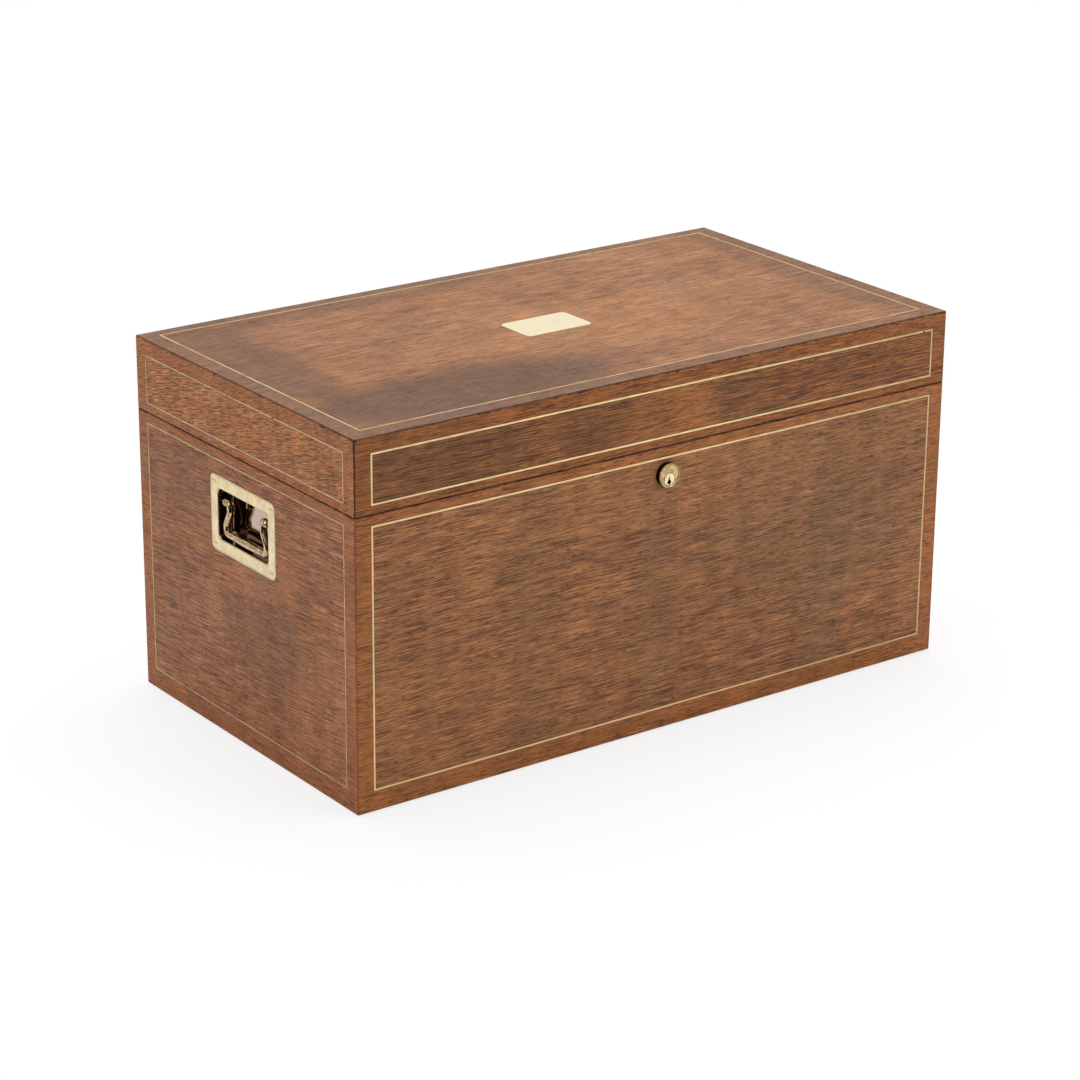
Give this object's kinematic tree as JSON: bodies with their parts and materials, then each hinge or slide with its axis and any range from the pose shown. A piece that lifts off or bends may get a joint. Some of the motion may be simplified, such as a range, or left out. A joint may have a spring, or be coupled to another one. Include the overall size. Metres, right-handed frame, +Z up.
{
  "type": "humidor",
  "caption": "Veneered table-top humidor with a hinged lid on stop hinges, metal string lines, a cylinder lock, flush swan-neck handles, a cedar lining and a lift-out tray",
  "frame": {"origin": "on the floor under the middle of the box, at the centre of the base", "axes": "X runs along the length of the box, to the right as seen from the front; Y runs from the front with the lock to the back with the hinges; Z points up"},
  "size_m": [0.55, 0.3129, 0.285],
  "materials": {
    "veneer": "satin",
    "base_wood": "matte",
    "cedar": "matte",
    "baize": "matte",
    "string_brass": "satin",
    "plaque_brass": "satin",
    "handle_brass": "brushed",
    "screw_brass": "satin",
    "lock_brass": "polished",
    "lock_work_brass": "satin",
    "hinge_brass": "brushed",
    "humidifier_brass": "satin",
    "pad_sponge": "matte"
  },
  "bodies": {
    "case": {"base_baize": "baize", "case_back": "veneer", "case_bottom": "base_wood", "case_front": "veneer", "case_left_side": "veneer", "case_right_side": "veneer", "handle_dish_left": "handle_brass", "handle_dish_right": "handle_brass", "handle_pivot_pins": "handle_brass", "handle_screws": "screw_brass", "hinge_case_screws": "screw_brass", "hinge_left_case_leaf": "hinge_brass", "hinge_pins": "hinge_brass", "hinge_right_case_leaf": "hinge_brass", "lining_back": "cedar", "lining_bottom": "cedar", "lining_front": "cedar", "lining_left": "cedar", "lining_right": "cedar", "lock_cap": "lock_work_brass", "lock_case": "lock_work_brass", "lock_cylinder": "lock_brass", "lock_screws": "screw_brass", "string_case_front": "string_brass", "string_case_left": "string_brass", "string_case_right": "string_brass", "tray_cleats": "cedar"},
    "lid": {"hinge_left_lid_leaf": "hinge_brass", "hinge_lid_screws": "screw_brass", "hinge_right_lid_leaf": "hinge_brass", "humidifier_case": "humidifier_brass", "humidifier_cover": "humidifier_brass", "humidifier_pad": "pad_sponge", "humidifier_screws": "screw_brass", "lid_back": "veneer", "lid_front": "veneer", "lid_left_side": "veneer", "lid_lining_back": "cedar", "lid_lining_front": "cedar", "lid_lining_left": "cedar", "lid_lining_right": "cedar", "lid_lining_top": "cedar", "lid_plaque": "plaque_brass", "lid_right_side": "veneer", "lid_top": "veneer", "link_plate": "lock_work_brass", "link_plate_screws": "screw_brass", "string_lid_front": "string_brass", "string_lid_left": "string_brass", "string_lid_right": "string_brass", "string_lid_top": "string_brass"},
    "bail_left": {"handle_bail_left": "handle_brass"},
    "bail_right": {"handle_bail_right": "handle_brass"},
    "plug": {"lock_plug": "lock_brass", "lock_cam": "lock_work_brass"},
    "bolt": {"lock_bolt": "lock_work_brass"},
    "tray": {"tray_sides": "cedar", "tray_ends": "cedar", "tray_base": "cedar", "tray_dividers": "cedar"}
  },
  "joints": [
    {"name": "lid_hinge", "type": "hinge", "parent": "case", "child": "lid", "pos_m": [0, 0.1543, 0.2271], "axis": [-1, 0, 0], "range_deg": [0, 95]},
    {"name": "bail_left_hinge", "type": "hinge", "parent": "case", "child": "bail_left", "pos_m": [-0.2713, 0, 0.1861], "axis": [0, 1, 0], "range_deg": [0, 90]},
    {"name": "bail_right_hinge", "type": "hinge", "parent": "case", "child": "bail_right", "pos_m": [0.2713, 0, 0.1861], "axis": [0, -1, 0], "range_deg": [0, 90]},
    {"name": "lock_turn", "type": "hinge", "parent": "case", "child": "plug", "pos_m": [0, -0.151, 0.20225], "axis": [0, 1, 0], "range_deg": [0, 90]},
    {"name": "bolt_slide", "type": "slide", "parent": "case", "child": "bolt", "axis": [1, 0, 0], "range_m": [0, 0.005]},
    {"name": "tray_lift", "type": "slide", "parent": "case", "child": "tray", "axis": [0, 0, 1], "range_m": [0, 0.022]}
  ],
  "couplings": [
    {"joint": "bolt_slide", "follows": "lock_turn", "m_per_rad": 0.00318}
  ]
}
